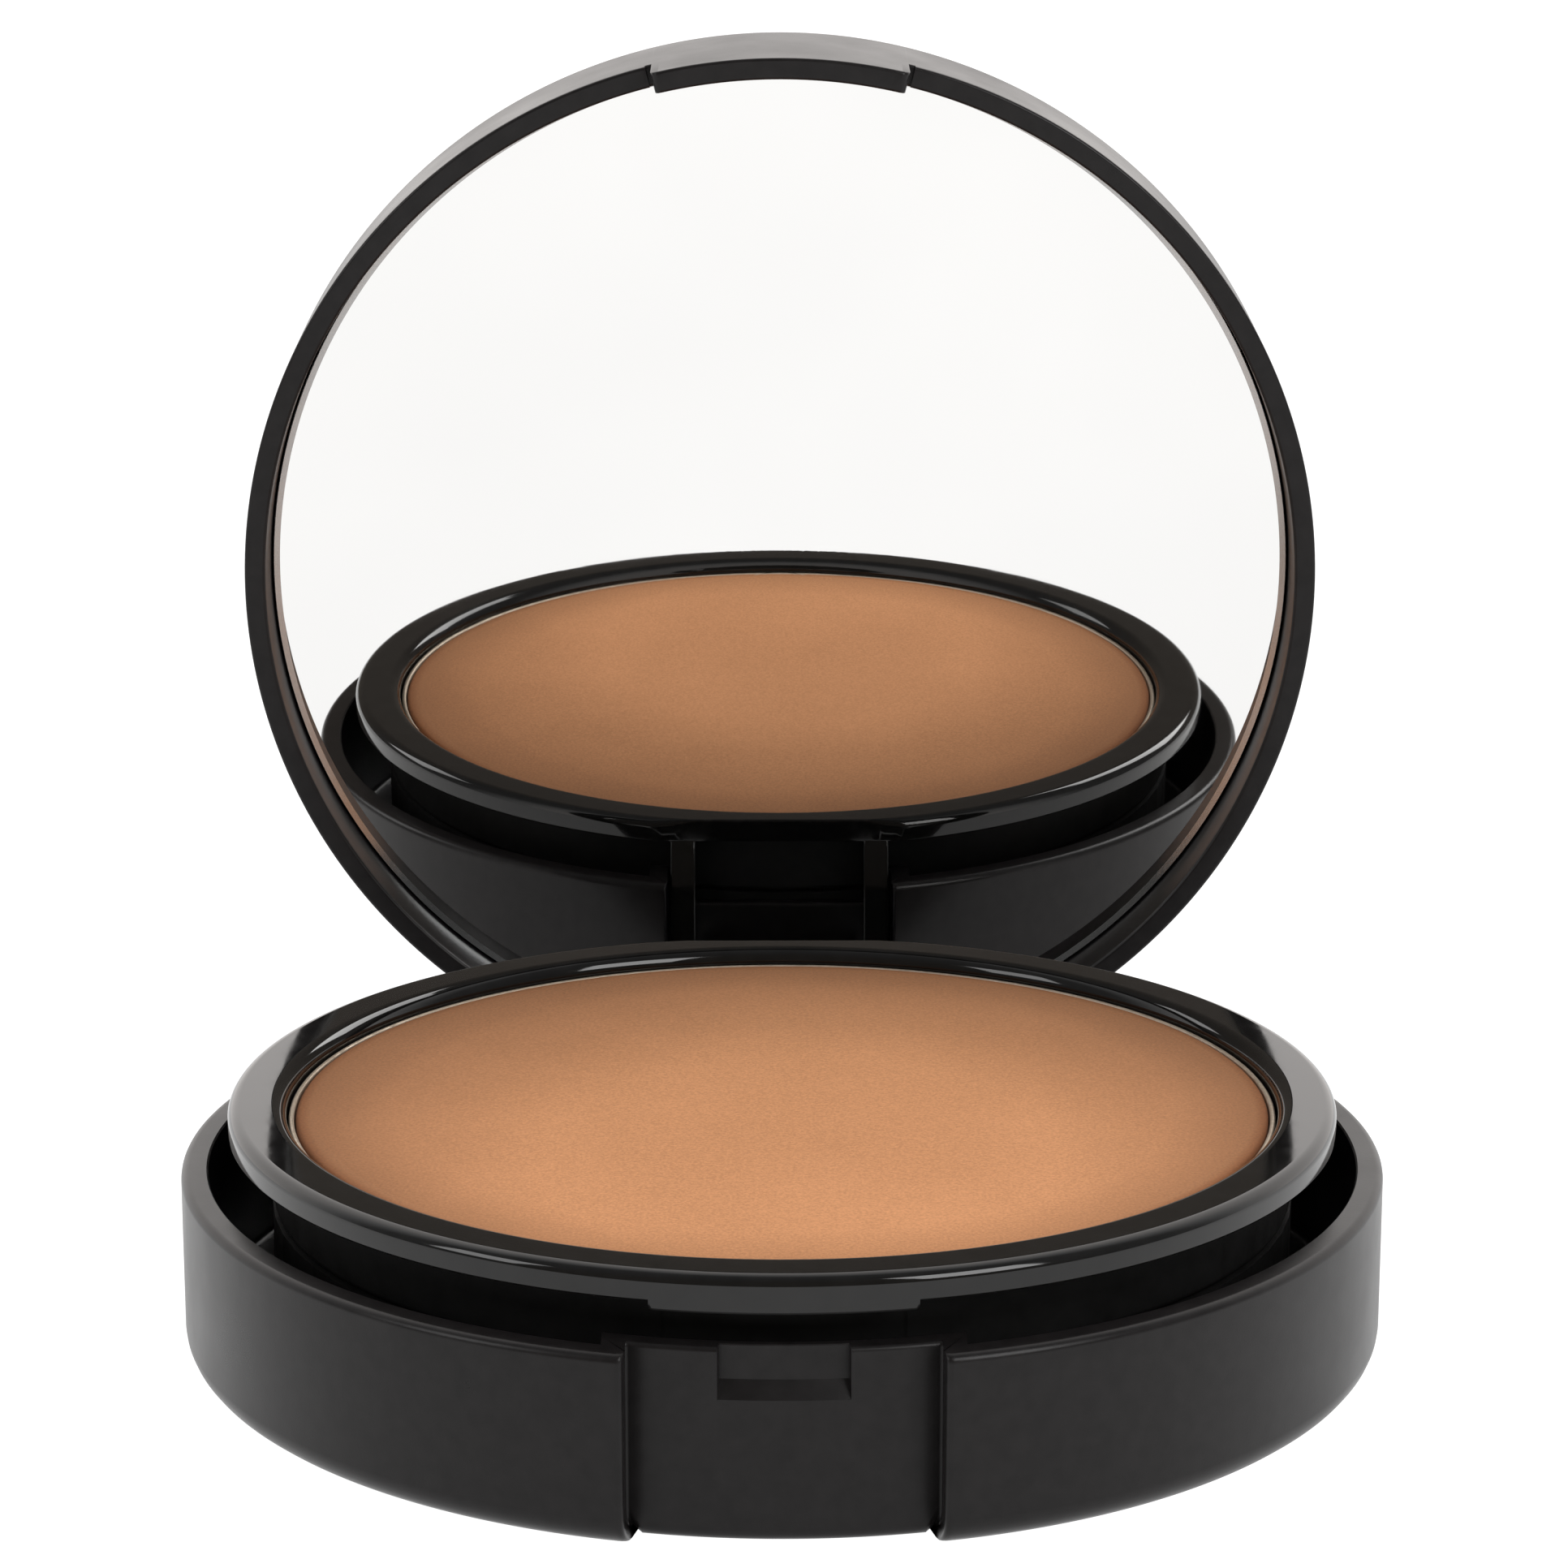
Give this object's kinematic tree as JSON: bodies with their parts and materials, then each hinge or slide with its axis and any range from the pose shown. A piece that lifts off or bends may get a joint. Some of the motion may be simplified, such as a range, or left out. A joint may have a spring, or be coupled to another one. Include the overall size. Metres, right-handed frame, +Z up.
{
  "type": "powder compact",
  "caption": "Round tiered pressed powder compact: low base with a sponge well under a raised tray and pan, and a hinged lid with a round mirror, standing open.",
  "frame": {"origin": "centre of the round base, in the plane it rests on", "axes": "+Z up, -Y towards the thumb recess at the front, X along the hinge pin"},
  "size_m": [0.0722, 0.0862, 0.0741],
  "materials": {
    "satin_case": "satin black moulded plastic",
    "gloss_insert": "polished black moulded plastic",
    "pan_metal": "pressed thin sheet",
    "powder": "pressed tan powder, matt with a fine grain",
    "sponge": "soft latex foam",
    "adhesive": "soft foam tape and hot melt",
    "label": "plain blank paper label",
    "pin_steel": "drawn steel wire",
    "mirror": "silvered plate glass with a bevelled edge"
  },
  "bodies": {
    "base": {"base_shell": "satin_case", "shade_label": "label", "sponge_well": "gloss_insert", "applicator_sponge": "sponge", "powder_tray": "gloss_insert", "pan_adhesive": "adhesive", "powder_pan": "pan_metal", "pressed_powder": "powder", "hinge_pin": "pin_steel"},
    "lid": {"lid_shell": "satin_case", "mirror_carrier": "gloss_insert", "mirror_tape": "adhesive", "mirror_glass": "mirror"}
  },
  "joints": [
    {"name": "lid_hinge", "type": "hinge", "parent": "base", "child": "lid", "pos_m": [0, 0.03368, 0.00352], "axis": [-1, 0, 0], "range_deg": [-86.8, 0]}
  ]
}
